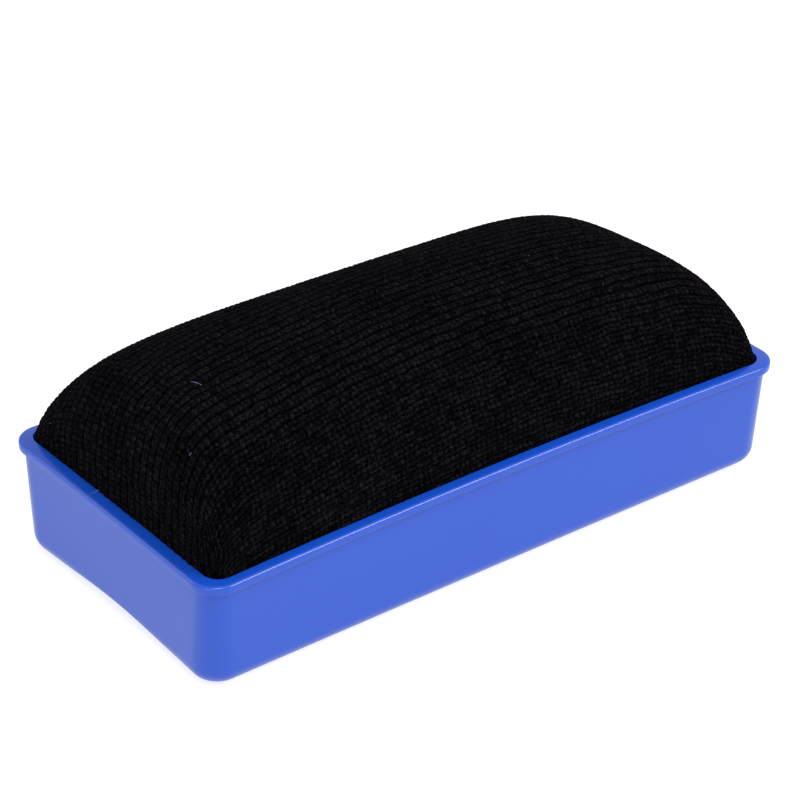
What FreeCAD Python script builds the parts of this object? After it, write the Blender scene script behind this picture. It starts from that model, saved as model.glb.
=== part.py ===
"""Chalkboard eraser: a moulded plastic tray holding a stuffed, fabric-covered pad.

Frame: millimetres, +Z up. X runs along the length, Y across the width. The eraser lies on its
grip with the wiping pad upwards, and the origin is the centre of its base at Z = 0.
"""
import FreeCAD, Part
import math
import os

Vector = FreeCAD.Vector
X_AXIS = Vector(1, 0, 0)
Z_AXIS = Vector(0, 0, 1)

# ---- tray: driving dimensions ----
LENGTH = 140.15           # over the lip, before its corners are rounded
WIDTH = 68.65             # over the lip, before its corners are rounded
RIM_HEIGHT = 24.5         # resting face to the top of the lip
LIP_OVERHANG = 1.0        # how far the lip stands out from the wall
LIP_DEPTH = 2.1           # height of the lip band
LIP_CORNER_RADIUS = 5.9
LIP_EDGE_RADIUS = 0.4
WALL = 1.2                # wall and floor thickness
SIDE_DRAFT = 1.25         # each long wall leans in by this much at the base
END_BOW_TOP = 0.25        # how far the end walls bow inwards at the rim
END_BOW_BASE = 1.1
SIDE_BOW_TOP = 1.65       # how far the long walls bow inwards at the rim
SIDE_BOW_BASE = 0.22
WALL_CORNER_TOP = 4.9
WALL_CORNER_BASE = 6.4
BASE_EDGE_RADIUS = 3.65   # rounding between the walls and the base
FOOT_STRIP = 1.2          # flat strip left along each long edge to rest on
GRIP_RISE = 2.9           # height of the hollow grip under the middle of the base
GATE_DIMPLE_RADIUS = 2.6  # round recess around the moulding gate
GATE_DIMPLE_DEPTH = 0.35
GATE_STUB_RADIUS = 0.7
GATE_STUB_HEIGHT = 0.25

# ---- pad: driving dimensions ----
CROWN_HEIGHT = 47.8       # resting face to the highest point of the pad
CLOTH = 1.5               # thickness of the ribbed plush cover
HEM = 1.2                 # the cover pressed flat under the board
HEM_WIDTH = 10.0
FIT_GAP = 0.15            # between the pad and the tray wall
STACK_GAP = 0.05          # between pieces that lie on each other
BOARD = 3.0               # hardboard thickness
BOARD_CORNER_RADIUS = 8.0
SIDE_FULLNESS = 2.7       # superellipse powers of the dome's cross and long profiles
LEFT_FULLNESS = 4.2
RIGHT_FULLNESS = 3.6
DOME_SHOULDER = 0.41
RIM_SQUARENESS = 14.0     # plan power of the lowest dome ring
CROWN_SQUARENESS = 2.7    # plan power of the highest dome ring
RING_LEVELS = (0.0, 0.3, 0.52, 0.68, 0.8, 0.89, 0.955, 0.99)
RING_POINTS = 64

# ---- fixings: driving dimensions ----
STAPLE_WIRE = 0.5
STAPLE_CROWN = 9.0
STAPLE_LEG = 3.2
STAPLES_PER_SIDE = 5
STAPLES_PER_END = 2
STAPLE_PITCH = 23.0       # between staples along each long side
END_STAPLE_CLEARANCE = 5.0  # end staples stand this much nearer the middle than the side rows
STAPLE_INSET = 6.0        # from the board's edge to the staple crown
GLUE_BEAD_WIDTH = 5.0
GLUE_BEAD_LENGTH = 92.0
GLUE_BEAD_OFFSET = 11.0   # from the centre line to the middle of each bead

# ---- worked out from the driving dimensions ----
BASE_HALF_LENGTH = LENGTH / 2 - LIP_OVERHANG
TOP_HALF_WIDTH = WIDTH / 2 - LIP_OVERHANG
BASE_HALF_WIDTH = TOP_HALF_WIDTH - SIDE_DRAFT
GRIP_HALF_WIDTH = BASE_HALF_WIDTH - BASE_EDGE_RADIUS - FOOT_STRIP
GRIP_RADIUS = (GRIP_HALF_WIDTH ** 2 + GRIP_RISE ** 2) / (2 * GRIP_RISE)
GRIP_AXIS_Z = GRIP_RISE - GRIP_RADIUS
FLOOR_TOP = GRIP_RISE + WALL
HEM_BASE_Z = FLOOR_TOP + STACK_GAP
BOARD_BASE_Z = HEM_BASE_Z + HEM + STACK_GAP
FOAM_BASE_Z = BOARD_BASE_Z + BOARD + STACK_GAP
PAD_RIM_HALF_LENGTH = BASE_HALF_LENGTH - WALL - FIT_GAP - END_BOW_TOP
PAD_FOOT_HALF_LENGTH = BASE_HALF_LENGTH - WALL - FIT_GAP - END_BOW_BASE
PAD_RIM_HALF_WIDTH = TOP_HALF_WIDTH - WALL - FIT_GAP
PAD_FOOT_HALF_WIDTH = BASE_HALF_WIDTH - WALL - FIT_GAP
BOARD_HALF_LENGTH = PAD_FOOT_HALF_LENGTH - CLOTH - STACK_GAP
BOARD_HALF_WIDTH = PAD_FOOT_HALF_WIDTH - SIDE_BOW_BASE - CLOTH - STACK_GAP


def bowed_outline(half_length, half_width, end_bow, side_bow, z):
    """A rectangle whose four sides are shallow arcs that bow inwards between the corners."""
    corners = [Vector(half_length, half_width, z), Vector(-half_length, half_width, z),
               Vector(-half_length, -half_width, z), Vector(half_length, -half_width, z)]
    middles = [Vector(0, half_width - side_bow, z), Vector(-half_length + end_bow, 0, z),
               Vector(0, -half_width + side_bow, z), Vector(half_length - end_bow, 0, z)]
    edges = []
    for i, middle in enumerate(middles):
        edges.append(Part.Arc(corners[i], middle, corners[(i + 1) % 4]).toShape())
    return Part.Wire(edges)


def upright_edges(shape):
    """The four corner edges of a bowed block."""
    found = []
    for edge in shape.Edges:
        ends = [vertex.Point for vertex in edge.Vertexes]
        if len(ends) == 2 and abs(ends[0].z - ends[1].z) > 1.0:
            found.append(edge)
    return found


def edges_at(shape, z):
    """Every edge that lies wholly at one height."""
    return [e for e in shape.Edges if all(abs(v.Point.z - z) < 1e-4 for v in e.Vertexes)
            and abs(e.CenterOfMass.z - z) < 1e-3]


def inner_rim_edges(tray):
    """The edges where the lip's flat top meets the cavity."""
    tops = [f for f in tray.Faces if f.BoundBox.ZMin > RIM_HEIGHT - 1e-3]
    rim = max(tops, key=lambda face: face.Area)
    return min(rim.Wires, key=lambda wire: wire.Length).Edges


def bowed_block(base, top, corner_radius):
    """A block between two bowed outlines with rounded corners."""
    block = Part.makeLoft([base, top], True, True)
    return block.makeFillet(corner_radius, upright_edges(block))


def wall_block(inset, base_z, top_z, corner_radius):
    """The tray's tapered body, or with an inset its cavity, between two heights."""
    def outline(z):
        t = z / RIM_HEIGHT
        end_bow = END_BOW_BASE + (END_BOW_TOP - END_BOW_BASE) * t
        side_bow = SIDE_BOW_BASE + (SIDE_BOW_TOP - SIDE_BOW_BASE) * t
        half_width = BASE_HALF_WIDTH + SIDE_DRAFT * t
        return bowed_outline(BASE_HALF_LENGTH - inset, half_width - inset, end_bow, side_bow, z)
    return bowed_block(outline(base_z), outline(top_z), corner_radius)


def grip_cylinder(extra_radius):
    """The long cylinder whose top is the hollow grip; extra_radius adds the floor's thickness."""
    start = Vector(-LENGTH, 0, GRIP_AXIS_Z)
    return Part.makeCylinder(GRIP_RADIUS + extra_radius, 2 * LENGTH, start, X_AXIS)


def make_tray():
    body = wall_block(0.0, 0.0, RIM_HEIGHT, (WALL_CORNER_TOP + WALL_CORNER_BASE) / 2)
    body = body.makeFillet(BASE_EDGE_RADIUS, edges_at(body, 0.0))
    lip_z = RIM_HEIGHT - LIP_DEPTH
    lip_outlines = [bowed_outline(LENGTH / 2, WIDTH / 2, END_BOW_TOP, SIDE_BOW_TOP, z)
                    for z in (lip_z, RIM_HEIGHT)]
    lip = bowed_block(lip_outlines[0], lip_outlines[1], LIP_CORNER_RADIUS)
    lip = lip.makeFillet(LIP_EDGE_RADIUS, edges_at(lip, RIM_HEIGHT) + edges_at(lip, lip_z))
    cavity = wall_block(WALL, WALL, RIM_HEIGHT + WALL, WALL_CORNER_TOP - WALL)
    cavity = cavity.makeFillet(BASE_EDGE_RADIUS - WALL, edges_at(cavity, WALL))
    cavity = cavity.cut(grip_cylinder(WALL))
    tray = body.fuse(lip).cut(cavity).removeSplitter()
    tray = tray.makeFillet(LIP_EDGE_RADIUS, inner_rim_edges(tray))
    dimple = Part.makeCylinder(GATE_DIMPLE_RADIUS, GRIP_RISE + GATE_DIMPLE_DEPTH)
    stub_z = GRIP_RISE + GATE_DIMPLE_DEPTH - GATE_STUB_HEIGHT
    stub = Part.makeCylinder(GATE_STUB_RADIUS, GATE_STUB_HEIGHT, Vector(0, 0, stub_z))
    return tray.cut(grip_cylinder(0.0)).cut(dimple).fuse(stub).removeSplitter()


def ring(half_width, reach_left, reach_right, bow, power, z):
    """A level superellipse ring whose long sides bow inwards like the tray's walls."""
    middle = (reach_right - reach_left) / 2
    half_length = (reach_right + reach_left) / 2
    points = []
    for i in range(RING_POINTS):
        angle = 2 * math.pi * i / RING_POINTS
        along, across = math.cos(angle), math.sin(angle)
        reach = (abs(along) ** power + abs(across) ** power) ** (-1.0 / power)
        local_half_width = half_width - bow * (1.0 - (reach * along) ** 2)
        points.append(Vector(middle + half_length * reach * along,
                             local_half_width * reach * across, z))
    curve = Part.BSplineCurve()
    curve.interpolate(points, PeriodicFlag=True)
    return Part.Wire(curve.toShape())


def dome_ring(level, inset, crown_z):
    """One ring of the dome; level runs from 0 at the tray's rim to 1 at the crown."""
    shrink = 1.0 - level ** (1.0 / DOME_SHOULDER)
    half_width = PAD_RIM_HALF_WIDTH * shrink ** (1.0 / SIDE_FULLNESS) - inset
    reach_left = PAD_RIM_HALF_LENGTH * shrink ** (1.0 / LEFT_FULLNESS) - inset
    reach_right = PAD_RIM_HALF_LENGTH * shrink ** (1.0 / RIGHT_FULLNESS) - inset
    power = RIM_SQUARENESS + (CROWN_SQUARENESS - RIM_SQUARENESS) * level
    z = RIM_HEIGHT + (crown_z - RIM_HEIGHT) * level
    return ring(half_width, reach_left, reach_right, SIDE_BOW_TOP * (1.0 - level), power, z)


def domed_block(inset, base_z):
    """The stuffed pad's outer form: straight-sided inside the tray, domed above its rim."""
    rings = [dome_ring(level, inset, CROWN_HEIGHT - inset) for level in RING_LEVELS]
    dome = Part.makeLoft(rings, True, False)
    foot_reach = PAD_FOOT_HALF_LENGTH - inset
    foot = ring(PAD_FOOT_HALF_WIDTH - inset, foot_reach, foot_reach, SIDE_BOW_BASE,
                RIM_SQUARENESS, base_z)
    trunk = Part.makeLoft([foot, rings[0]], True, True)
    return trunk.fuse(dome).removeSplitter()


def rounded_plate(half_length, half_width, radius, z, thickness):
    plate = Part.makeBox(2 * half_length, 2 * half_width, thickness,
                         Vector(-half_length, -half_width, z))
    return plate.makeFillet(radius, upright_edges(plate))


def make_board():
    return rounded_plate(BOARD_HALF_LENGTH, BOARD_HALF_WIDTH, BOARD_CORNER_RADIUS,
                         BOARD_BASE_Z, BOARD)


def make_foam():
    return domed_block(CLOTH + STACK_GAP, FOAM_BASE_Z)


def make_cover():
    """The cover over the foam, turned in under the board as a flat hem."""
    skin = domed_block(0.0, HEM_BASE_Z)
    foam_room = domed_block(CLOTH, BOARD_BASE_Z - STACK_GAP)
    window = rounded_plate(BOARD_HALF_LENGTH - HEM_WIDTH, BOARD_HALF_WIDTH - HEM_WIDTH,
                           BOARD_CORNER_RADIUS, HEM_BASE_Z - 1.0, HEM + 2.0)
    return skin.cut(foam_room).cut(window)


def staple(x, y, along_x):
    """One wire staple: a crown under the hem and two legs driven up into the board."""
    crown_z = HEM_BASE_Z - STAPLE_WIRE / 2
    step = Vector(STAPLE_CROWN / 2, 0, 0) if along_x else Vector(0, STAPLE_CROWN / 2, 0)
    centre = Vector(x, y, crown_z)
    crown_start = centre - step
    crown = Part.makeCylinder(STAPLE_WIRE / 2, STAPLE_CROWN, crown_start, step)
    wire = crown
    for foot in (centre - step, centre + step):
        leg = Part.makeCylinder(STAPLE_WIRE / 2, STAPLE_LEG, foot, Z_AXIS)
        knee = Part.makeSphere(STAPLE_WIRE / 2, foot)
        wire = wire.fuse(leg).fuse(knee)
    return wire.removeSplitter()


def make_staples():
    side_y = BOARD_HALF_WIDTH - STAPLE_INSET
    end_x = BOARD_HALF_LENGTH - STAPLE_INSET
    staples = []
    for i in range(STAPLES_PER_SIDE):
        x = (i - (STAPLES_PER_SIDE - 1) / 2) * STAPLE_PITCH
        for side in (-1, 1):
            staples.append(staple(x, side * side_y, True))
    for i in range(STAPLES_PER_END):
        y = (i - (STAPLES_PER_END - 1) / 2) * 2 * (side_y - END_STAPLE_CLEARANCE)
        for end in (-1, 1):
            staples.append(staple(end * end_x, y, False))
    return Part.makeCompound(staples)


def make_glue_beads():
    """Two hot-melt beads that fill the space between the arched floor and the board."""
    beads = []
    floor = grip_cylinder(WALL)
    for side in (-1, 1):
        corner = Vector(-GLUE_BEAD_LENGTH / 2, side * GLUE_BEAD_OFFSET - GLUE_BEAD_WIDTH / 2, 0)
        bead = Part.makeBox(GLUE_BEAD_LENGTH, GLUE_BEAD_WIDTH, BOARD_BASE_Z, corner)
        beads.append(bead.cut(floor))
    return Part.makeCompound(beads)


def main():
    os.makedirs("parts", exist_ok=True)
    staples = make_staples()
    nodes = {
        "tray": make_tray(),
        "pad_cover": make_cover().cut(staples),
        "foam_core": make_foam(),
        "backing_board": make_board().cut(staples),
        "hem_staples": staples,
        "glue_beads": make_glue_beads(),
    }
    for name, shape in nodes.items():
        shape.exportStep(f"parts/{name}.step")
        box = shape.optimalBoundingBox(False)
        print(f"{name}: solids {len(shape.Solids)}, valid {shape.isValid()}, volume {shape.Volume:.0f}, "
              f"z {box.ZMin:.2f}..{box.ZMax:.2f}, x {box.XLength:.2f}, y {box.YLength:.2f}")


main()
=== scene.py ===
"""Looks for the chalkboard eraser: a blue moulded tray and a tight black knitted plush pad."""
import math

import bpy
import numpy as np
from mathutils import Matrix, Vector


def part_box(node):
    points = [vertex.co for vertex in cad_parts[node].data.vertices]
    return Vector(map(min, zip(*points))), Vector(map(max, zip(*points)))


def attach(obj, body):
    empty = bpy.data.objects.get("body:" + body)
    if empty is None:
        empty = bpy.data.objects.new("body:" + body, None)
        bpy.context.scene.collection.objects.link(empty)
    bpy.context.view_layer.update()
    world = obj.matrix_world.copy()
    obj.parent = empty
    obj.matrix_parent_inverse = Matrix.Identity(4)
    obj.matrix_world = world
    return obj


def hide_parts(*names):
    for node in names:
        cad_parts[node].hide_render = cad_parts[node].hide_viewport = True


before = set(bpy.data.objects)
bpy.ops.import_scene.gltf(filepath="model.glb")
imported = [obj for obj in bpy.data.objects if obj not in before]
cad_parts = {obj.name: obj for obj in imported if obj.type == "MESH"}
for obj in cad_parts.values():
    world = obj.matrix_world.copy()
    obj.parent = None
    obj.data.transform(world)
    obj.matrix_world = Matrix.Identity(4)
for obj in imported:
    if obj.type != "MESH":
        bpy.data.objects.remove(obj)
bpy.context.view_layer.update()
scene = bpy.context.scene
MM = 0.001
TINY = 1e-9                              # keeps divisions away from zero
CLOTH_SEED, KNIT_SEED, FOAM_SEED = 5, 11, 3

# ---- tray sizes in millimetres, from the frame and the moulding's own details ----
TRAY_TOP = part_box("tray")[1] / MM
RIM = TRAY_TOP.z
LIP_HALF_LENGTH = TRAY_TOP.x + 0.38      # to the corner that the rounding cuts off
LIP_HALF_WIDTH = TRAY_TOP.y + 0.28
LIP_OVERHANG = 1.0
LIP_DEPTH = 2.1
LIP_CORNER = 5.9
WALL = 1.2
LEAST_CORNER = 0.4                       # smallest radius of the cavity's corners
END_THICKER, SIDE_THICKER = 0.68, 0.15   # how much thicker the rim is, at the ends and sides
SIDE_DRAFT = 1.25
END_BOWS = (1.1, 0.25)                   # at the base and at the rim
SIDE_BOWS = (0.22, 1.65)
WALL_CORNERS = (6.4, 4.9)
BASE_ROUND = 3.6                         # radius of the base edge
GRIP_RISE = 2.9
GRIP_HALF_WIDTH = 27.2
GRIP_RADIUS = (GRIP_HALF_WIDTH ** 2 + GRIP_RISE ** 2) / (2 * GRIP_RISE)
DIMPLE_RADIUS, DIMPLE_DEPTH = 2.6, 0.35
DIMPLE_GAPS = (0.5, 0.2, 0.08, 0.05)     # rings on the arch just outside the dimple
STUB_RADIUS, STUB_HEIGHT = 0.7, 0.25
EASE, STUB_EASE = 0.05, 0.04             # width of the broken edges of dimple and stub
CAVITY_FOOT = 1.0                        # height of the rounding between floor and wall
CAVITY_STOP = 0.6                        # the cavity wall's last ring, below the rim

# ---- spacing of the tray's rings, closer together where the surface turns ----
LONG_STEPS, END_STEPS, CORNER_STEPS = 120, 64, 16
WALL_SHARES = np.concatenate([(0.001, 0.004, 0.012, 0.04), np.linspace(0, 0.7, 8)[1:],
                              np.linspace(0.7, 0.985, 14)[1:], (0.994, 1)])
UNDERSIDE_SCALES = (0.9975, 0.985, 0.965, 0.94, 0.9, 0.85, 0.78, 0.7, 0.6, 0.5, 0.4, 0.3, 0.2,
                    0.12)
FLOOR_SCALES = (0.05, 0.2, 0.4, 0.6, 0.75, 0.86, 0.93, 0.95)
FOOT_ROUNDING = ((0.0, 1.0), (0.08, 0.6), (0.3, 0.25), (0.7, 0.05), (CAVITY_FOOT, 0.0))
CAVITY_SHARES = (0.25, 0.5, 0.75, 0.9, 0.97)
# the lip's section from the cavity over the top to its outer face: inset, drop, share thicker
LIP_TOP = ((2.2, 0.3, 1), (2.2, 0.1, 1), (2.18, 0.04, 1), (2.12, 0.01, 1), (2.05, 0.0, 1),
           (1.95, 0.005, 0.97), (1.6, 0.045, 0.75), (1.2, 0.095, 0.5), (0.9, 0.14, 0.3),
           (0.65, 0.19, 0.15), (0.5, 0.225, 0.07), (0.38, 0.27, 0.03), (0.27, 0.33, 0),
           (0.17, 0.41, 0), (0.09, 0.5, 0), (0.03, 0.6, 0), (0, 0.7, 0), (0, 0.76, 0))
# and on from its outer face round the lower edge and in under it: inset, drop
LIP_UNDER = ((0, 1.2), (0, 1.6), (0, 1.68), (0.014, 1.79), (0.055, 1.89), (0.12, 1.98),
             (0.21, 2.05), (0.31, 2.09), (0.42, LIP_DEPTH), (0.5, LIP_DEPTH),
             (0.8, LIP_DEPTH), (0.95, LIP_DEPTH), (0.99, LIP_DEPTH))

# ---- pad sizes in millimetres ----
CLOTH = 1.5
PAD_GAP = 0.15
PAD_HALF_LENGTH = LIP_HALF_LENGTH - LIP_OVERHANG - WALL - END_THICKER - PAD_GAP
PAD_HALF_WIDTH = LIP_HALF_WIDTH - LIP_OVERHANG - WALL - SIDE_THICKER - PAD_GAP
PAD_CORNER = 4.0
CORNER_SHRINK = 0.8                      # the corner's radius shrinks by this much of an inset
EDGE_Z = 22.0                            # where the dome starts, inside the tray
DOME_RISE = 26.1
# the dome's sections: a higher power makes them squarer, a higher shoulder rounder at the edge
SIDE_POWER, SIDE_SHOULDER = 2.78, 0.384
LEFT_POWER, LEFT_SHOULDER = 12.4, 0.188
RIGHT_POWER, RIGHT_SHOULDER = 8.14, 0.431
LEAN, SAG = 0.084, 0.081                 # the crown leans to the left and sags at both ends
LEFT_SOFT, RIGHT_SOFT, SOFT_POWER = 0.434, 0.103, 6.25   # how far the corners sink
LEFT_TILT, RIGHT_TILT, TILT_POWER = 0.272, 0.308, 4.55   # stuffed fuller on the near side
LONG_CELLS, CROSS_CELLS = 68, 38         # control cells along and across the pad
SPLITS = 10                              # mesh steps in each control cell
CROSS_PLACE = -0.2                       # the section that the cells across are spaced on
CURVE_SAMPLES = 4001                     # samples along a curve that is cut into equal lengths

# the cover below the dome, down inside the tray, in under the board and back: inset, height
SKIRT = ((0.15, 18.0), (0.7, 11.0), (1.2, 6.0), (1.6, 4.6), (2.4, 4.2), (6.0, 4.2),
         (11.5, 4.2), (11.7, 4.5), (11.7, 5.0), (11.5, 5.3), (6.0, 5.3), (3.4, 5.4),
         (2.9, 8.0), (2.3, 12.0), (1.65, 18.0))

# ---- foam block in millimetres ----
FOAM_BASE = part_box("foam_core")[0].z / MM
FOAM_GAP = 0.15                          # room between the foam and the cover
FOAM_PITS = 0.25                         # depth of the cut cells in its skin
FOAM_EDGE_DROP = 1.0                     # its dome starts this far below the cover's
FOAM_SIDES = ((2.35, 14.0), (2.95, FOAM_BASE + 0.5), (3.4, FOAM_BASE), (9.0, FOAM_BASE),
              (18.0, FOAM_BASE), (26.0, FOAM_BASE))       # inset, height

# ---- cloth simulation of the cover, lengths in millimetres ----
CLOTH_SCALE = 10                         # the solver likes cloth ten times life size
CLOTH_FRAMES, CLOTH_QUALITY, CLOTH_MASS = 20, 6, 0.1
STRETCH_STIFFNESS, SHEAR_STIFFNESS, BENDING_STIFFNESS = 12, 6, 0.4
PRESSURE = 4.0
SLACK, SLACK_RISE = 0.5, 6               # cut this much small, from this far above the edge
TUCKS, TUCK_SIZE = 70, 0.5               # uneven tension round the tucked edge
BROAD_PASSES = 16                        # smoothing that finds the broad part of the movement
MOST_MOVED = 0.35                        # cap on how far the simulation moves the cloth

# ---- knit: each rib is two rows of tufts with a shallow parting between them ----
WALE = 2.12                              # from one rib to the next, in millimetres
COURSE = 1.27                            # one stitch along a rib, in millimetres
KNIT_DEPTH = 0.60                        # from a valley to the top of a tuft, in millimetres
KNIT_LEVEL = 0.6                         # the relief that lies on the pad's smooth surface
SKIN = KNIT_DEPTH * 0.2                  # how far the cover's inner side allows for the relief
FIRST_RIB, FIRST_STITCH = 100, 200       # numbers at the pad's middle, so that none is negative
SKEW, BOW = 0.06, 0.0013                 # the cloth sits slightly askew on the pad
GATHER = 0.15                            # how much the outer ribs crowd in at the ends
RIB_POWER, ROW_POWER = 1.9, 2.0          # a higher power gives narrower valleys
PARTING, PARTING_WIDTH = 0.25, 0.12      # its depth as a share of the rib, its width in ribs
STITCH_LAG = 0.12                        # a rib's edges run this far ahead of its middle
STITCH_SHIFT = 0.22                      # how far a tuft may sit out of line, in stitches
TUFT_POWER = 0.85
TABLE = 400                              # random tufts repeat after this many
LEAST_TUFT, MORE_TUFT = 0.7, 0.3         # height of the smallest tuft, and what size adds
BASE_RELIEF, TUFT_RELIEF = 0.62, 0.38    # shares of a rib's height and of its tufts'
ROW_SHADE, PARTING_SHADE = 0.8, 0.5      # painted shade: how much darker the pile's colour is between rows and at the parting
ROW_LIGHT, RIB_LIGHT = 0.92, 1.3         # painted lightness of closed rows and of opened ribs
BASE_LIGHT, TUFT_LIGHT = 0.47, 0.53      # the same shares for the painted lightness: tufts are painted lighter than the pile round them
LEAST_TONE, MORE_TONE = 0.7, 0.6         # the darkest tuft's tone, and what chance adds
# how far ribs and stitches wander, in ribs and in stitches, over how many cells of the pad
RIB_JITTERS = ((0.13, (34, 19)), (0.085, (113, 63)))
STITCH_JITTERS = ((0.30, (17, 19)), (0.12, (113, 63)))
TONE_JITTER, TONE_CELLS = 0.10, (20, 10)
PLAIN_PILE = 0.5                         # lightness of the cover's hidden parts
# ribs are open on the crown and the ends; they close where the surface leans to a long side; the
# painted shade lies in the rib valleys where they are open and between the rows where they are
# closed
CLOSE_FROM, CLOSE_OVER = 0.45, 0.35      # the lean where they start to close, and over how much
FLAT_FROM, FLAT_OVER = 0.85, 0.1         # how level the surface is where they open fully
STEEP_SHARE = 0.65                       # how far they are open where it is less level

# ---- loose lint, in millimetres ----
LINT_RADIUS = 0.038
LINT_LIFT = (0, -0.05, 0.28)             # lies on top of the tufts, not between them
# the fibre across the lip: in from the lip's left end, across the tray, up from the rim
LIP_FIBRE = ((0.35, 6.0, -0.16), (1.5, 6.45, 0.0), (2.5, 6.35, 0.06), (3.6, 5.9, 0.9))
# the others: rows and columns of the cover's fine mesh that each fibre passes
LINT_PLACES = (((140, 172), (141, 167), (143, 162)), ((92, 113), (95, 113)))
STRAND_SPLITS, STRAND_SIDES = 4, 6

# ---- studio, in metres, degrees and watts ----
CAMERA_AIM, CAMERA_DISTANCE = Vector((0, 0, 0.020)), 0.656985
CAMERA_TURNS = (-37.975, 31.447, -0.887)   # azimuth, elevation, roll
LENS, SENSOR = 149.09, 36                # in millimetres
SHIFT_X, SHIFT_Y = -0.0033, 0.0189
CLIP_START, CLIP_END = 0.01, 20
FLOOR_HALF = 4000                        # in millimetres
WORLD_STRENGTH = 0.8
SOFTBOXES = (("left_softbox", (-0.92, -0.52, 0.22), 0.60, 2.9),       # place, diameter, power
             ("far_softbox", (-0.56, 0.64, 0.58), 0.40, 0.9),
             ("front_softbox", (0.50, -0.62, 0.70), 0.50, 6.0),
             ("top_softbox", (-0.25, -0.47, 0.88), 0.50, 3.4))

# ---- sockets of the Mix node for colours ----
MIX_FACTOR, MIX_A, MIX_B, MIX_RESULT = 0, 6, 7, 2


def make_camera():
    """The camera stands to the near left, above the eraser, with a long lens."""
    azimuth, elevation, roll = (math.radians(turn) for turn in CAMERA_TURNS)
    back = Vector((math.sin(azimuth) * math.cos(elevation),
                   -math.cos(azimuth) * math.cos(elevation), math.sin(elevation)))
    level_right = Vector((math.cos(azimuth), math.sin(azimuth), 0))
    level_up = back.cross(level_right)
    right = math.cos(roll) * level_right - math.sin(roll) * level_up
    up = math.sin(roll) * level_right + math.cos(roll) * level_up
    data = bpy.data.cameras.new("camera")
    data.lens, data.sensor_width = LENS, SENSOR
    data.shift_x, data.shift_y = SHIFT_X, SHIFT_Y
    data.clip_start, data.clip_end = CLIP_START, CLIP_END
    camera = bpy.data.objects.new("camera", data)
    place = Matrix.Translation(CAMERA_AIM + back * CAMERA_DISTANCE)
    camera.matrix_world = place @ Matrix((right, up, back)).transposed().to_4x4()
    scene.collection.objects.link(camera)
    scene.camera = camera


# ------------------------------------------------------------------ materials
def new_material(name):
    """A material with one Principled shader: the material, its tree and the shader."""
    material = bpy.data.materials.new(name)
    material.use_nodes = True
    tree = material.node_tree
    tree.nodes.clear()
    output = tree.nodes.new("ShaderNodeOutputMaterial")
    shader = tree.nodes.new("ShaderNodeBsdfPrincipled")
    tree.links.new(shader.outputs[0], output.inputs["Surface"])
    return material, tree, shader


def add(tree, kind, inputs=None, **settings):
    """Adds a node; inputs maps a socket's name or number to a value or another node's socket."""
    node = tree.nodes.new("ShaderNode" + kind)
    for key, value in settings.items():
        setattr(node, key, value)
    for key, value in (inputs or {}).items():
        if isinstance(value, bpy.types.NodeSocket):
            tree.links.new(value, node.inputs[key])
        else:
            node.inputs[key].default_value = value
    return node


def place_in_object(tree):
    """Coordinates that stay with the object, in metres."""
    return add(tree, "TexCoord").outputs["Object"]


def noise(tree, scale, **settings):
    """A noise texture's value over the object; settings are its other inputs."""
    return add(tree, "TexNoise", {"Vector": place_in_object(tree), "Scale": scale,
                                  **settings}).outputs["Fac"]


def blend(tree, share, first, second, **settings):
    """A colour between two others, each three numbers or a socket."""
    ends = [end if isinstance(end, bpy.types.NodeSocket) else (*end, 1)
            for end in (first, second)]
    return add(tree, "Mix", {MIX_FACTOR: share, MIX_A: ends[0], MIX_B: ends[1]},
               data_type="RGBA", **settings).outputs[MIX_RESULT]


def ramp(tree, value, low, high, from_low=0.0, from_high=1.0):
    """Maps value from from_low..from_high to low..high."""
    return add(tree, "MapRange", {"Value": value, "From Min": from_low, "From Max": from_high,
                                  "To Min": low, "To Max": high}).outputs[0]


def emboss(tree, shader, height, strength, distance):
    """Fine relief of the surface by bump; distance is its depth in metres."""
    bump = add(tree, "Bump", {"Height": height, "Strength": strength, "Distance": distance})
    tree.links.new(bump.outputs[0], shader.inputs["Normal"])


def blue_plastic():
    """Satin moulded polypropylene: deep blue with faint flow clouds and fine moulding grain."""
    material, tree, shader = new_material("blue_plastic")
    clouds = noise(tree, 40.0, Detail=3.0)
    colour = blend(tree, clouds, (0.0045, 0.053, 0.405), (0.0045, 0.060, 0.435))
    tree.links.new(colour, shader.inputs["Base Color"])
    tree.links.new(ramp(tree, clouds, 0.22, 0.28), shader.inputs["Roughness"])
    emboss(tree, shader, noise(tree, 1400.0, Detail=2.0), 0.05, 0.0002)
    shader.inputs["IOR"].default_value = 1.5
    return material


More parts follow.
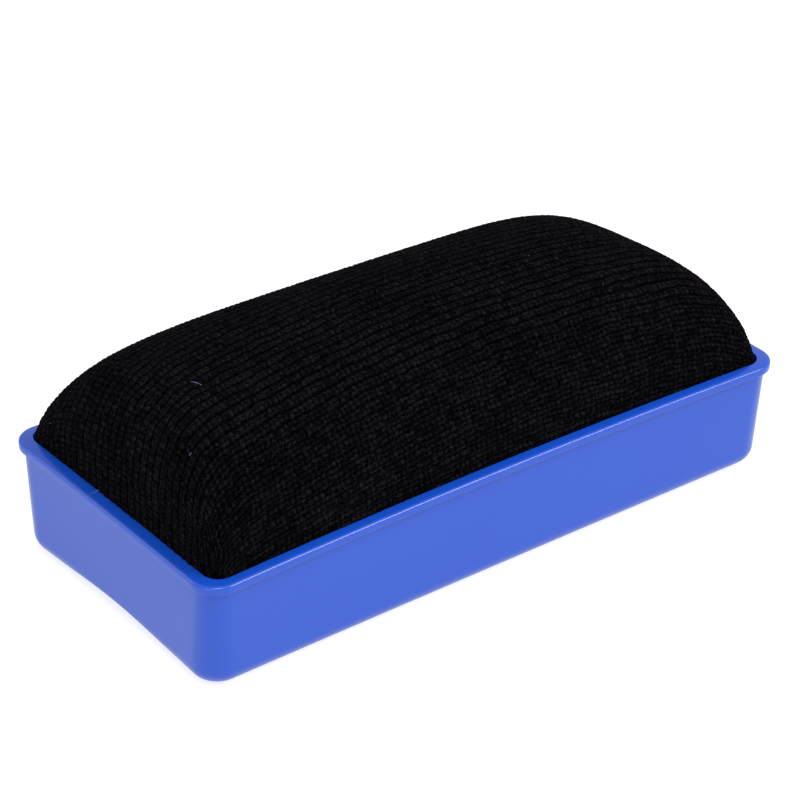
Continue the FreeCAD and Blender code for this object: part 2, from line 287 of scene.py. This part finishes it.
def black_plush():
    """Black velour knit, its colour painted with light and shade: lighter on the tufts, black in
    the rib valleys, with painted glints.
    """
    material, tree, shader = new_material("black_plush")
    fuzz = noise(tree, 2400.0, Detail=3.0, Roughness=0.7)
    # painted glints: a fine speckle that makes the pile's colour from a fifth to nearly three times
    # as bright
    painted_glints = ramp(tree, fuzz, 0.2, 2.9, 0.40, 0.72)
    pile_shading = add(tree, "Attribute", attribute_name="pile_shading").outputs["Fac"]
    # painted shade and highlight of the knit, read from the cover's points
    depth = ramp(tree, pile_shading, 0.20, 1.6, 0.28, 1.0)
    painted_light_and_shade = add(tree, "Math", {0: painted_glints, 1: depth}, operation="MULTIPLY").outputs[0]
    # the colour carries the painted light, shade and glints
    colour = blend(tree, painted_light_and_shade, (0, 0, 0), (0.0038, 0.0033, 0.0045), clamp_factor=False)
    # rare pale specks of dust
    dust = add(tree, "TexVoronoi", {"Vector": place_in_object(tree), "Scale": 330.0})
    fleck = ramp(tree, dust.outputs["Distance"], 0, 1, 0.06, 0.03)
    chance = add(tree, "SeparateColor", {0: dust.outputs["Color"]}).outputs[0]
    rare = add(tree, "Math", {0: chance, 1: 0.97}, operation="GREATER_THAN").outputs[0]
    dusty = add(tree, "Math", {0: fleck, 1: rare}, operation="MULTIPLY").outputs[0]
    tree.links.new(blend(tree, dusty, colour, (0.05, 0.05, 0.06)), shader.inputs["Base Color"])
    emboss(tree, shader, fuzz, 0.6, 0.0003)
    shader.inputs["Roughness"].default_value = 0.8
    shader.inputs["Specular IOR Level"].default_value = 0.003
    shader.inputs["Sheen Weight"].default_value = 0.0035
    shader.inputs["Sheen Roughness"].default_value = 0.35
    return material


def cream_foam():
    """Open-cell foam, cream, with painted shade in its cells' pits."""
    material, tree, shader = new_material("cream_foam")
    cells = add(tree, "TexVoronoi", {"Vector": place_in_object(tree),
                                     "Scale": 1100.0}).outputs["Distance"]
    # painted shade: darker where the cells' bump sinks into pits
    colour = blend(tree, cells, (0.55, 0.48, 0.30), (0.72, 0.66, 0.46))
    tree.links.new(colour, shader.inputs["Base Color"])
    emboss(tree, shader, cells, 1.0, 0.0004)
    shader.inputs["Roughness"].default_value = 0.95
    return material


def hardboard():
    """Brown pressed board with its fibres."""
    material, tree, shader = new_material("hardboard")
    fibres = noise(tree, 700.0, Detail=6.0)
    colour = blend(tree, fibres, (0.10, 0.045, 0.020), (0.24, 0.13, 0.065))
    tree.links.new(colour, shader.inputs["Base Color"])
    emboss(tree, shader, fibres, 0.4, 0.0002)
    shader.inputs["Roughness"].default_value = 0.7
    return material


def staple_steel():
    """Drawn steel wire, brighter and duller along its length."""
    material, tree, shader = new_material("staple_steel")
    drawn = noise(tree, 900.0, Detail=3.0)
    tree.links.new(ramp(tree, drawn, 0.22, 0.45), shader.inputs["Roughness"])
    colour = blend(tree, drawn, (0.50, 0.50, 0.52), (0.66, 0.66, 0.67))
    tree.links.new(colour, shader.inputs["Base Color"])
    shader.inputs["Metallic"].default_value = 1.0
    return material


def hot_melt():
    """Milky yellowish glue."""
    material, tree, shader = new_material("hot_melt")
    milk = noise(tree, 160.0, Detail=2.0)
    colour = blend(tree, milk, (0.55, 0.47, 0.30), (0.72, 0.66, 0.50))
    tree.links.new(colour, shader.inputs["Base Color"])
    shader.inputs["Roughness"].default_value = 0.25
    shader.inputs["Subsurface Weight"].default_value = 0.3
    shader.inputs["Subsurface Radius"].default_value = (0.002, 0.0015, 0.001)
    return material


def pale_lint():
    """Bluish white fibre."""
    material, tree, shader = new_material("pale_lint")
    colour = blend(tree, noise(tree, 500.0), (0.10, 0.13, 0.24), (0.22, 0.26, 0.40))
    tree.links.new(colour, shader.inputs["Base Color"])
    shader.inputs["Roughness"].default_value = 0.8
    return material


def floor_white():
    """A pale floor that glows a little, so that it stays even."""
    material, tree, shader = new_material("floor_white")
    shader.inputs["Base Color"].default_value = (0.35, 0.35, 0.35, 1)
    shader.inputs["Roughness"].default_value = 0.9
    shader.inputs["Specular IOR Level"].default_value = 0.0
    shader.inputs["Emission Color"].default_value = (1, 1, 1, 1)
    shader.inputs["Emission Strength"].default_value = 0.75
    return material


# ------------------------------------------------------------------ meshes
def link_mesh(name, points, faces, material):
    """A piece from points in millimetres and faces of any size."""
    mesh = bpy.data.meshes.new(name)
    mesh.from_pydata((np.asarray(points) * MM).tolist(), [], faces)
    mesh.polygons.foreach_set("use_smooth", np.ones(len(mesh.polygons), bool))
    mesh.materials.append(material)
    piece = bpy.data.objects.new(name, mesh)
    scene.collection.objects.link(piece)
    return piece


def quads_between(first, second):
    """Quads that join two closed rings of vertex numbers."""
    first, second = np.asarray(first), np.asarray(second)
    return np.stack([second, np.roll(second, -1), np.roll(first, -1), first], -1).tolist()


def loft(rings, close_start, close_end):
    """Points and faces of a skin over closed rings; a closed end gets a fan to its middle."""
    count = len(rings[0])
    points = list(np.concatenate(rings))
    faces = []
    for i in range(len(rings) - 1):
        faces += quads_between(np.arange(count) + i * count, np.arange(count) + (i + 1) * count)
    for wanted, ring, flip in ((close_start, 0, True), (close_end, len(rings) - 1, False)):
        if wanted:
            middle = len(points)
            points.append(rings[ring].mean(0))
            for i in range(count):
                a, b = ring * count + i, ring * count + (i + 1) % count
                faces.append([a, b, middle] if flip else [b, a, middle])
    return np.array(points), faces


# ------------------------------------------------------------------ tray
def perimeter():
    """Samples round a rounded rectangle: each one's corner centre and its outward direction."""
    centres, directions = [], []
    for quarter, (steps, sign_x, sign_y) in enumerate(
            ((LONG_STEPS, 1, 1), (END_STEPS, -1, 1), (LONG_STEPS, -1, -1), (END_STEPS, 1, -1))):
        for angle in np.linspace(0, 90, CORNER_STEPS, endpoint=False):
            turn = math.radians(quarter * 90 + angle)
            centres.append((sign_x, sign_y))
            directions.append((math.cos(turn), math.sin(turn)))
        turn = math.radians((quarter + 1) * 90)
        for part in np.linspace(0, 1, steps, endpoint=False):
            travel = 1 - 2 * part
            centres.append((sign_x * travel, sign_y) if quarter % 2 == 0
                           else (sign_x, sign_y * travel))
            directions.append((math.cos(turn), math.sin(turn)))
    return np.array(centres), np.round(np.array(directions), 9)


CENTRES, DIRECTIONS = perimeter()


def bowed_ring(half_length, half_width, radius, end_bow, side_bow, z):
    """A rounded rectangle whose sides bow inwards; every argument may differ round the ring."""
    x = CENTRES[:, 0] * (half_length - radius) + DIRECTIONS[:, 0] * radius
    y = CENTRES[:, 1] * (half_width - radius) + DIRECTIONS[:, 1] * radius
    bowed_x = x - end_bow * x / half_length * (1 - (y / half_width) ** 2)
    bowed_y = y - side_bow * y / half_width * (1 - (x / half_length) ** 2)
    return np.stack([bowed_x, bowed_y, z + 0 * x], -1)


def wall_ring(z, inset=0.0, thicker=0.0):
    """The tray's tapered wall at height z, moved inwards by inset."""
    t = z / RIM
    radius = WALL_CORNERS[0] + (WALL_CORNERS[1] - WALL_CORNERS[0]) * t - inset
    return bowed_ring(LIP_HALF_LENGTH - LIP_OVERHANG - inset - thicker * END_THICKER,
                      LIP_HALF_WIDTH - LIP_OVERHANG - SIDE_DRAFT * (1 - t) - inset
                      - thicker * SIDE_THICKER,
                      np.maximum(radius, LEAST_CORNER),
                      END_BOWS[0] + (END_BOWS[1] - END_BOWS[0]) * t,
                      SIDE_BOWS[0] + (SIDE_BOWS[1] - SIDE_BOWS[0]) * t, z)


def lip_ring(drop, inset, thicker=0.0):
    """The lip's section at a drop below the rim and an inset from its outer face."""
    return bowed_ring(LIP_HALF_LENGTH - inset - thicker * END_THICKER,
                      LIP_HALF_WIDTH - inset - thicker * SIDE_THICKER,
                      LIP_CORNER - inset, END_BOWS[1], SIDE_BOWS[1], RIM - drop)


def grip_height(y):
    """The hollow grip's ceiling: an arch across the underside, flat feet outside it."""
    arch = np.sqrt(GRIP_RADIUS ** 2 - y ** 2) - (GRIP_RADIUS - GRIP_RISE)
    return np.maximum(arch, 0)


def outer_wall_rings():
    """From under the lip down to the cut of the grip, evenly spaced along each section."""
    top = RIM - LIP_DEPTH
    cut = grip_height(wall_ring(0.0, 0.0)[:, 1])
    straight = top - np.maximum(cut, BASE_ROUND)
    cut_angle = np.arcsin(np.clip(1 - cut / BASE_ROUND, 0, 1))
    length = straight + BASE_ROUND * cut_angle
    rings = []
    for share in WALL_SHARES:
        way = share * length
        angle = np.clip((way - straight) / BASE_ROUND, 0, math.pi / 2)
        z = np.where(way < straight, top - way, BASE_ROUND * (1 - np.sin(angle)))
        z = np.where(cut > BASE_ROUND, np.maximum(top - way, cut), z)
        rings.append(wall_ring(z, BASE_ROUND * (1 - np.cos(angle))))
    return rings


def underside_rings(edge):
    """From the base edge inwards to the dimple round the moulding gate and its stub."""
    rings = []
    for scale in UNDERSIDE_SCALES:
        ring = edge * (scale, scale, 0)
        ring[:, 2] = grip_height(ring[:, 1])
        rings.append(ring)
    heading = np.arctan2(edge[:, 1], edge[:, 0])
    ceiling = GRIP_RISE + DIMPLE_DEPTH
    stub_end = ceiling - STUB_HEIGHT
    circles = [(DIMPLE_RADIUS + gap, None) for gap in DIMPLE_GAPS]       # these follow the arch
    circles += [(DIMPLE_RADIUS, ceiling - EASE), (DIMPLE_RADIUS - EASE, ceiling),
                (STUB_RADIUS + EASE, ceiling), (STUB_RADIUS, ceiling - EASE),
                (STUB_RADIUS, stub_end + STUB_EASE), (STUB_RADIUS - EASE, stub_end)]
    for radius, z in circles:
        ring = np.stack([radius * np.cos(heading), radius * np.sin(heading), 0 * heading], -1)
        ring[:, 2] = grip_height(ring[:, 1]) if z is None else z
        rings.append(ring)
    return rings


def cavity_rings():
    """From the middle of the tray's floor out to its wall and up to the rim."""
    foot = wall_ring(0.0, WALL, 1)
    rings = []
    for scale in FLOOR_SCALES:
        ring = foot * (scale, scale, 0)
        ring[:, 2] = grip_height(ring[:, 1]) + WALL
        rings.append(ring)
    floor = grip_height(foot[:, 1]) + WALL
    for rise, inset in FOOT_ROUNDING:
        rings.append(wall_ring(floor + rise, WALL + inset, 1))
    height = RIM - (CAVITY_FOOT + CAVITY_STOP) - floor
    for share in CAVITY_SHARES:
        rings.append(wall_ring(floor + CAVITY_FOOT + height * share, WALL, 1))
    return rings


def make_tray():
    """One closed skin: the cavity from its middle outwards, the lip, the wall, the underside."""
    rings = cavity_rings()
    rings += [lip_ring(drop, inset, thicker) for inset, drop, thicker in LIP_TOP]
    rings += [lip_ring(drop, inset) for inset, drop in LIP_UNDER]
    rings += outer_wall_rings()
    rings += underside_rings(rings[-1])
    points, faces = loft(rings, True, True)
    tray = link_mesh("moulded_tray", points, faces, blue_plastic())
    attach(tray, "root")
    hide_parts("tray")


# ------------------------------------------------------------------ pad
def plan(u, v, inset=0.0):
    """Where grid place u, v (-1 to 1) lies in the pad's plan, with its corners rounded off."""
    half_length, half_width = PAD_HALF_LENGTH - inset, PAD_HALF_WIDTH - inset
    radius = PAD_CORNER - CORNER_SHRINK * inset
    x, y = u * half_length, v * half_width
    over_x = np.maximum(np.abs(x) - (half_length - radius), 0)
    over_y = np.maximum(np.abs(y) - (half_width - radius), 0)
    longest = np.hypot(over_x, over_y)
    shrink = np.where(longest > 0, np.maximum(over_x, over_y) / np.maximum(longest, TINY), 1)
    x = np.sign(x) * (np.abs(x) - over_x * (1 - shrink))
    y = np.sign(y) * (np.abs(y) - over_y * (1 - shrink))
    x = x - END_BOWS[1] * x / half_length * (1 - (y / half_width) ** 2)
    y = y - SIDE_BOWS[1] * y / half_width * (1 - (x / half_length) ** 2)
    return x, y


def plan_ring(u, v, inset, z):
    """Points at height z over grid places in the plan."""
    x, y = plan(u, v, inset)
    return np.stack([x, y, z + 0 * x], -1)


def dome(u, v):
    """The stuffed pad's outer surface over the grid place u, v."""
    power = np.where(u < 0, LEFT_POWER, RIGHT_POWER)
    shoulder = np.where(u < 0, LEFT_SHOULDER, RIGHT_SHOULDER)
    along = np.maximum(1 - np.abs(u) ** power, 0) ** shoulder * (1 - LEAN * u - SAG * u * u)
    across = np.maximum(1 - np.abs(v) ** SIDE_POWER, 0) ** SIDE_SHOULDER
    soften = np.where(u < 0, LEFT_SOFT, RIGHT_SOFT) * np.abs(u * v) ** SOFT_POWER
    fuller = 1 - np.where(u < 0, LEFT_TILT, RIGHT_TILT) * v * np.abs(u) ** TILT_POWER
    x, y = plan(u, v)
    return np.stack([x, y, EDGE_Z + DOME_RISE * along * across * (1 - soften) * fuller], -1)


def even_places(curve, cells):
    """Grid places from -1 to 1 that cut a curve over them into equal lengths."""
    dense = np.sin(np.linspace(-1, 1, CURVE_SAMPLES) * math.pi / 2)
    points = curve(dense)
    steps = np.linalg.norm(np.diff(points, axis=0), axis=1)
    length = np.concatenate([[0], np.cumsum(steps)])
    return np.interp(np.linspace(0, length[-1], cells + 1), length, dense)


def normals_of(points):
    """Unit normals of a grid of points, outwards."""
    normal = np.cross(np.gradient(points, axis=0), np.gradient(points, axis=1))
    return normal / np.maximum(np.linalg.norm(normal, axis=-1, keepdims=True), TINY)


def grid_faces(rows, columns, start=0, flip=False):
    """Quads over a grid whose vertex numbers begin at start."""
    index = np.arange(rows * columns).reshape(rows, columns) + start
    quads = [index[:-1, :-1], index[1:, :-1], index[1:, 1:], index[:-1, 1:]]
    return np.stack(quads[::-1] if flip else quads, -1).reshape(-1, 4).tolist()


def grid_border(rows, columns):
    """Vertex numbers round a grid's edge, anticlockwise seen from above."""
    index = np.arange(rows * columns).reshape(rows, columns)
    return np.concatenate([index[:-1, 0], index[-1, :-1], index[:0:-1, -1], index[0, :0:-1]])


def edge_mask(shape):
    """True on the outermost points of a grid."""
    edge = np.zeros(shape, bool)
    edge[[0, -1]] = edge[:, [0, -1]] = True
    return edge


def inflate(points):
    """Cloth simulation: the cover, cut slightly small and held at its edge, is blown up tight.

    Only the fine part of the movement is kept, and that is capped.
    """
    rows, columns = points.shape[:2]
    scale = CLOTH_SCALE * MM
    rise = np.clip((points[..., 2:] - EDGE_Z) / SLACK_RISE, 0, 1)
    start = points - normals_of(points) * SLACK * rise
    rim_x, rim_y = points[..., 0] / PAD_HALF_LENGTH, points[..., 1] / PAD_HALF_WIDTH
    outwards = np.stack([np.round(rim_x), np.round(rim_y), 0 * rim_x], -1)
    border = grid_border(rows, columns)
    tucks = np.interp(np.arange(len(border)), np.linspace(0, len(border), TUCKS),
                      np.random.default_rng(CLOTH_SEED).uniform(-TUCK_SIZE, TUCK_SIZE, TUCKS))
    start.reshape(-1, 3)[border] += outwards.reshape(-1, 3)[border] * tucks[:, None]
    mesh = bpy.data.meshes.new("cover_cloth")
    mesh.from_pydata((start.reshape(-1, 3) * scale).tolist(), [], grid_faces(rows, columns))
    cloth = bpy.data.objects.new("cover_cloth", mesh)
    scene.collection.objects.link(cloth)
    held = cloth.vertex_groups.new(name="held")
    held.add(border.tolist(), 1.0, "ADD")
    solver = cloth.modifiers.new("Cloth", "CLOTH")
    settings = solver.settings
    settings.quality, settings.mass = CLOTH_QUALITY, CLOTH_MASS
    settings.tension_stiffness = settings.compression_stiffness = STRETCH_STIFFNESS
    settings.shear_stiffness = SHEAR_STIFFNESS
    settings.bending_stiffness = BENDING_STIFFNESS
    settings.use_pressure = True
    settings.uniform_pressure_force = PRESSURE
    settings.effector_weights.gravity = 0
    settings.vertex_group_mass = "held"
    solver.point_cache.frame_start, solver.point_cache.frame_end = 1, CLOTH_FRAMES
    for number in range(CLOTH_FRAMES):
        scene.frame_set(number + 1)
    shown = cloth.evaluated_get(bpy.context.evaluated_depsgraph_get())
    flat = np.zeros(rows * columns * 3)
    shown.data.vertices.foreach_get("co", flat)
    scene.frame_set(1)
    bpy.data.objects.remove(cloth)
    bpy.data.meshes.remove(mesh)
    moved = flat.reshape(rows, columns, 3) / scale - points
    broad = moved.copy()
    for _ in range(BROAD_PASSES):
        broad[1:-1, 1:-1] = (broad[:-2, 1:-1] + broad[2:, 1:-1] + broad[1:-1, :-2]
                             + broad[1:-1, 2:]) / 4
    moved -= broad
    far = np.linalg.norm(moved, axis=-1, keepdims=True)
    return points + moved * np.minimum(1, MOST_MOVED / np.maximum(far, TINY))


def smooth_weights(cells, splits):
    """Catmull-Rom weights that split each cell of a row of control points.

    Beyond either end the row goes on in a straight line.
    """
    places = np.arange(cells * splits + 1) / splits
    cell = np.minimum(places.astype(int), cells - 1)
    t = places - cell
    basis = [(-t + 2 * t ** 2 - t ** 3) / 2, (2 - 5 * t ** 2 + 3 * t ** 3) / 2,
             (t + 4 * t ** 2 - 3 * t ** 3) / 2, (-t ** 2 + t ** 3) / 2]
    weights = np.zeros((len(places), cells + 1))
    for offset, part in zip((-1, 0, 1, 2), basis):
        node = cell + offset
        inside = (node >= 0) & (node <= cells)
        rows = np.arange(len(places))
        weights[rows[inside], node[inside]] += part[inside]
        low, high = node < 0, node > cells
        weights[rows[low], 0] += 2 * part[low]
        weights[rows[low], 1] -= part[low]
        weights[rows[high], cells] += 2 * part[high]
        weights[rows[high], cells - 1] -= part[high]
    return weights


def soft_field(rng, shape, cells):
    """A smooth random field from -1 to 1, made by spreading a coarse grid of random values."""
    long_weights = smooth_weights(cells[0], 1 + (shape[0] - 1) // cells[0])[:shape[0]]
    cross_weights = smooth_weights(cells[1], 1 + (shape[1] - 1) // cells[1])[:shape[1]]
    return long_weights @ rng.uniform(-1, 1, (cells[0] + 1, cells[1] + 1)) @ cross_weights.T


def knit(course, wale, opened, rng):
    """The knit's relief, 0 in a valley to 1 on a tuft, and the pile's painted light and shade.

    Closed ribs show as two even rows; opened ones, on the crown and the ends, as whole ribs, by
    where the painted shade lies.
    """
    side = wale - np.floor(wale)
    rib = 1 - np.abs(2 * side - 1) ** RIB_POWER
    parting = np.exp(-((side - 0.5) / PARTING_WIDTH) ** 2)
    between = np.abs(2 * ((2 * wale) % 1) - 1) ** ROW_POWER
    leg = np.floor(2 * wale).astype(int) % TABLE
    phase = course + STITCH_LAG * np.abs(2 * side - 1)
    stitch = np.floor(phase + 0.5)
    place = stitch.astype(int) % TABLE
    size, shift, tone = rng.uniform(0, 1, (3, TABLE, TABLE))
    middle = stitch + STITCH_SHIFT * (shift[place, leg] - 0.5)
    tuft = np.maximum(0.5 + 0.5 * np.cos(2 * math.pi * (phase - middle)), 0) ** TUFT_POWER
    tuft *= LEAST_TUFT + MORE_TUFT * size[place, leg]
    relief = rib * (1 - PARTING * parting) * (BASE_RELIEF + TUFT_RELIEF * tuft)
    # painted shade: darker between rows, in the rib valleys and at the parting; painted highlight:
    # lighter on the tufts
    rows = ROW_LIGHT * (1 - ROW_SHADE * between)
    ribs = RIB_LIGHT * rib * (1 - PARTING_SHADE * parting)
    painted_lightness = (rows + (ribs - rows) * opened) * (BASE_LIGHT + TUFT_LIGHT * tuft)
    return relief, painted_lightness * (LEAST_TONE + MORE_TONE * tone[place, leg])


def make_pad():
    """The pad's smooth control grid, its knitted surface, the pile's painted light and shade, the
    grid places.
    """
    rng = np.random.default_rng(KNIT_SEED)
    u = even_places(lambda t: dome(t, 0 * t), LONG_CELLS)
    v = even_places(lambda t: dome(0 * t + CROSS_PLACE, t), CROSS_CELLS)
    mesh_u, mesh_v = np.meshgrid(u, v, indexing="ij")
    control = dome(mesh_u, mesh_v)
    control = inflate(control)
    surface = np.einsum("ai,ijk,bj->abk", smooth_weights(LONG_CELLS, SPLITS), control,
                        smooth_weights(CROSS_CELLS, SPLITS))
    rows, columns = surface.shape[:2]
    along = np.linalg.norm(np.diff(surface, axis=0), axis=-1)
    across = np.linalg.norm(np.diff(surface, axis=1), axis=-1)
    course = np.concatenate([np.zeros((1, columns)), np.cumsum(along, axis=0)]) / COURSE
    wale = np.concatenate([np.zeros((rows, 1)), np.cumsum(across, axis=1)], axis=1) / WALE
    course = course - course[rows // 2] + FIRST_STITCH
    wale = wale - wale[:, columns // 2, None]
    gathered = wale[rows // 2] + 0 * wale
    x = surface[..., 0]
    wale = wale + (gathered - wale) * GATHER - (SKEW * x - BOW * x * x) / WALE + FIRST_RIB
    for amount, cells in RIB_JITTERS:
        wale += amount * soft_field(rng, (rows, columns), cells)
    for amount, cells in STITCH_JITTERS:
        course += amount * soft_field(rng, (rows, columns), cells)
    normals = normals_of(surface)
    # how far the ribs are open, which sets where the painted shade lies, follows how the surface
    # leans
    opened = 1 - np.clip((np.abs(normals[..., 1]) - CLOSE_FROM) / CLOSE_OVER, 0, 1)
    flat = np.clip((normals[..., 2] - FLAT_FROM) / FLAT_OVER, 0, 1)
    opened *= STEEP_SHARE + (1 - STEEP_SHARE) * flat
    relief, painted_lightness = knit(course, wale, opened, rng)
    painted_lightness *= 1 + TONE_JITTER * soft_field(rng, (rows, columns), TONE_CELLS)
    outer = surface + normals * ((relief - KNIT_LEVEL) * KNIT_DEPTH)[..., None]
    return control, outer, painted_lightness, mesh_u, mesh_v


def make_cover(control, outer, pile_shading_values, mesh_u, mesh_v):
    """A closed shell: knitted outside, skirt down and in under the board, smooth inside.

    The skirt is as coarse as the control grid, so each of its top faces has a run of fine edges.
    """
    rows, columns = outer.shape[:2]
    long_count, cross_count = mesh_u.shape
    fine = grid_border(rows, columns)
    coarse = grid_border(long_count, cross_count)
    border_u, border_v = mesh_u.reshape(-1)[coarse], mesh_v.reshape(-1)[coarse]
    rings = [plan_ring(border_u, border_v, inset, z) for inset, z in SKIRT]
    inner = control - normals_of(control) * (CLOTH + SKIN)
    edge = edge_mask(mesh_u.shape)
    inner[edge] = plan_ring(mesh_u, mesh_v, CLOTH, EDGE_Z)[edge]
    faces = grid_faces(rows, columns)
    first_ring = rows * columns
    count = len(coarse)
    for i in range(count):
        a, b = first_ring + i, first_ring + (i + 1) % count
        span = [int(fine[(i * SPLITS + k) % len(fine)]) for k in range(SPLITS, -1, -1)]
        faces.append(span + [a, b])
    for i in range(len(rings) - 1):
        start = first_ring + i * count
        faces += quads_between(np.arange(count) + start, np.arange(count) + start + count)
    inner_start = first_ring + len(rings) * count
    faces += quads_between(np.arange(count) + inner_start - count, coarse + inner_start)
    faces += grid_faces(long_count, cross_count, inner_start, flip=True)
    points = np.concatenate([outer.reshape(-1, 3), *rings, inner.reshape(-1, 3)])
    cover = link_mesh("plush_cover", points, faces, black_plush())
    pile_shading = np.full(len(points), PLAIN_PILE, np.float32)
    pile_shading[:rows * columns] = pile_shading_values.reshape(-1)
    # the cover's painted light and shade, kept on its points for the plush material
    attribute = cover.data.attributes.new("pile_shading", "FLOAT", "POINT")
    attribute.data.foreach_set("value", pile_shading)
    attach(cover, "root")
    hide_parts("pad_cover")


def make_foam(control, mesh_u, mesh_v):
    """The foam block under the cover, flat on the board, with the cut cells' pitted skin."""
    rng = np.random.default_rng(FOAM_SEED)
    depth = CLOTH + SKIN + FOAM_GAP
    body = control - normals_of(control) * depth
    edge = edge_mask(mesh_u.shape)
    body[edge] = plan_ring(mesh_u, mesh_v, depth, EDGE_Z - FOAM_EDGE_DROP)[edge]
    body[1:-1, 1:-1, 2] -= rng.uniform(0, FOAM_PITS, body[1:-1, 1:-1, 2].shape)
    border = grid_border(*mesh_u.shape)
    border_u, border_v = mesh_u.reshape(-1)[border], mesh_v.reshape(-1)[border]
    rings = [plan_ring(border_u, border_v, inset, z) for inset, z in FOAM_SIDES]
    base_points, base_faces = loft(rings, False, True)
    faces = grid_faces(*mesh_u.shape)
    start = mesh_u.size
    faces += quads_between(border, np.arange(len(border)) + start)
    faces += [[corner + start for corner in face] for face in base_faces]
    foam = link_mesh("foam_block", np.concatenate([body.reshape(-1, 3), base_points]), faces,
                     cream_foam())
    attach(foam, "root")
    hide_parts("foam_core")


def strand(path, radius):
    """A thin round fibre along a path of points."""
    path = smooth_weights(len(path) - 1, STRAND_SPLITS) @ np.asarray(path, float)
    heading = np.gradient(path, axis=0)
    heading /= np.linalg.norm(heading, axis=1, keepdims=True)
    side = np.cross(heading, (0.3, 0.2, 1.0))      # no fibre runs this way
    side /= np.linalg.norm(side, axis=1, keepdims=True)
    top = np.cross(side, heading)
    turns = np.linspace(0, 2 * math.pi, STRAND_SIDES, endpoint=False)
    rings = [point + radius * (np.outer(np.cos(turns), a) + np.outer(np.sin(turns), b))
             for point, a, b in zip(path, side, top)]
    return loft(rings, True, True)


def make_lint(outer):
    """Loose fibres: one lies across the lip at the left end, the others on the plush."""
    paths = [np.array(LIP_FIBRE) + (-LIP_HALF_LENGTH, 0, RIM)]
    for places in LINT_PLACES:
        paths.append([outer[row, column] + LINT_LIFT for row, column in places])
    points, faces = [], []
    for path in paths:
        more_points, more_faces = strand(path, LINT_RADIUS)
        faces += [[corner + len(points) for corner in face] for face in more_faces]
        points += more_points.tolist()
    lint = link_mesh("lint_fibres", points, faces, pale_lint())
    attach(lint, "root")


def make_stage():
    """A plain pale floor that reaches past the view on every side."""
    corners = [(x * FLOOR_HALF, y * FLOOR_HALF, 0) for x, y in ((-1, -1), (1, -1), (1, 1), (-1, 1))]
    floor = link_mesh("floor", corners, [(0, 1, 2, 3)], floor_white())


def make_lights():
    """A white surround and four round softboxes that face the eraser."""
    world = bpy.data.worlds.new("studio")
    scene.world = world
    world.use_nodes = True
    background = world.node_tree.nodes["Background"]
    background.inputs["Color"].default_value = (1.0, 1.0, 1.0, 1)
    background.inputs["Strength"].default_value = WORLD_STRENGTH
    for name, place, diameter, power in SOFTBOXES:
        data = bpy.data.lights.new(name, "AREA")
        data.shape = "DISK"
        data.size = diameter
        data.energy = power
        light = bpy.data.objects.new(name, data)
        light.location = place
        light.rotation_euler = (-Vector(place)).to_track_quat("-Z", "Y").to_euler()
        scene.collection.objects.link(light)


scene.view_settings.view_transform = "Standard"
make_camera()
make_stage()
make_lights()
make_tray()
control, outer, pile_shading_values, mesh_u, mesh_v = make_pad()
make_cover(control, outer, pile_shading_values, mesh_u, mesh_v)
make_foam(control, mesh_u, mesh_v)
make_lint(outer)
for node, material in (("backing_board", hardboard()), ("hem_staples", staple_steel()),
                       ("glue_beads", hot_melt())):
    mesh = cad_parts[node].data
    mesh.materials.clear()
    mesh.materials.append(material)
